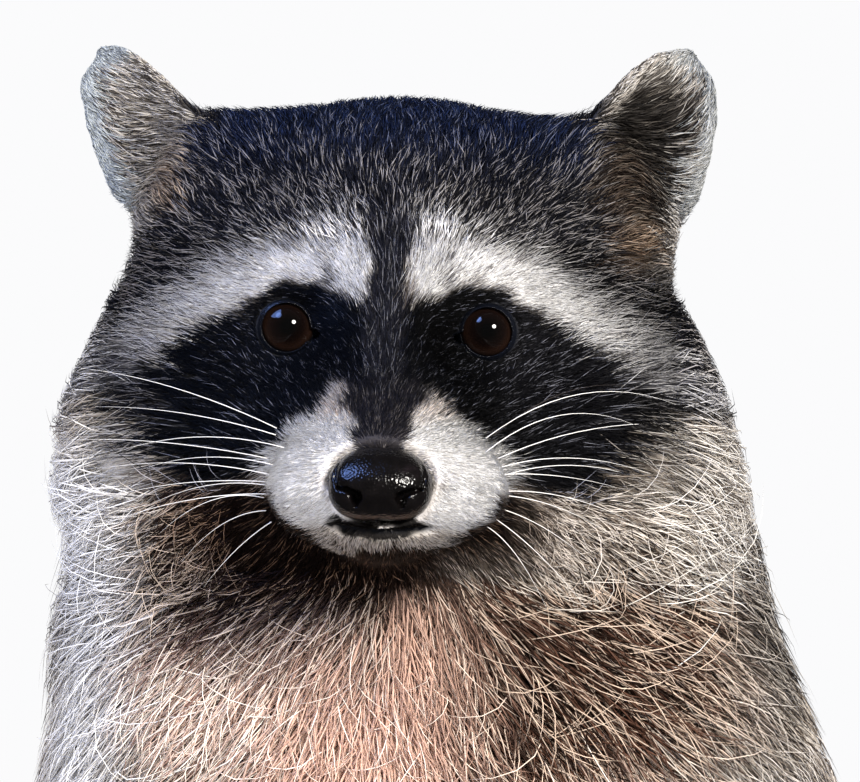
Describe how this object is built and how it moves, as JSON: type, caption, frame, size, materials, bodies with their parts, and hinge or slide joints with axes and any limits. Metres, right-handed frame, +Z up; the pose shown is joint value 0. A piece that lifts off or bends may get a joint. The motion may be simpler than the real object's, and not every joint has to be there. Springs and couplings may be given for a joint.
{
  "type": "raccoon",
  "caption": "Life-size raccoon sitting upright on its haunches with forefeet on the ground and ringed tail swept to one side, a still museum model.",
  "frame": {"origin": "on the floor, at the bottom centre of the bounding box", "axes": "the animal faces -Y, its own left side is +X and +Z is up; the tail lies behind at +Y and sweeps to +X"},
  "size_m": [0.2924, 0.506, 0.4239],
  "materials": {
    "face_fur": "short dense facial coat: black mask, white brow stripes and muzzle, grizzled crown",
    "ear_fur": "short velvety coat outside, long pale hairs inside, white rim",
    "chest_fur": "thin pinkish-brown under-coat under long pale guard hairs",
    "body_fur": "thick grizzled coat of brown under-coat and pale-banded, dark-tipped guard hairs",
    "tail_fur": "bushy coat with dark rings and a dark tip",
    "paw_fur": "very short dark coat over bare dark pads",
    "claw_horn": "smooth dark horn, paler towards the point",
    "nose_skin": "moist pebbled black skin",
    "eye": "wet glossy near-black brown"
  },
  "bodies": {
    "root": {"head": "face_fur", "lower_jaw": "face_fur", "nose": "nose_skin", "ear_left": "ear_fur", "ear_right": "ear_fur", "eye_left": "eye", "eye_right": "eye", "neck": "chest_fur", "trunk": "body_fur", "tail": "tail_fur", "foreleg_left": "body_fur", "foreleg_right": "body_fur", "hindleg_left": "body_fur", "hindleg_right": "body_fur", "forefoot_left": "paw_fur", "forefoot_right": "paw_fur", "hindfoot_left": "paw_fur", "hindfoot_right": "paw_fur", "claw_forefoot_left_1": "claw_horn", "claw_forefoot_left_2": "claw_horn", "claw_forefoot_left_3": "claw_horn", "claw_forefoot_left_4": "claw_horn", "claw_forefoot_left_5": "claw_horn", "claw_hindfoot_left_1": "claw_horn", "claw_hindfoot_left_2": "claw_horn", "claw_hindfoot_left_3": "claw_horn", "claw_hindfoot_left_4": "claw_horn", "claw_hindfoot_left_5": "claw_horn", "claw_forefoot_right_1": "claw_horn", "claw_forefoot_right_2": "claw_horn", "claw_forefoot_right_3": "claw_horn", "claw_forefoot_right_4": "claw_horn", "claw_forefoot_right_5": "claw_horn", "claw_hindfoot_right_1": "claw_horn", "claw_hindfoot_right_2": "claw_horn", "claw_hindfoot_right_3": "claw_horn", "claw_hindfoot_right_4": "claw_horn", "claw_hindfoot_right_5": "claw_horn"}
  },
  "joints": []
}
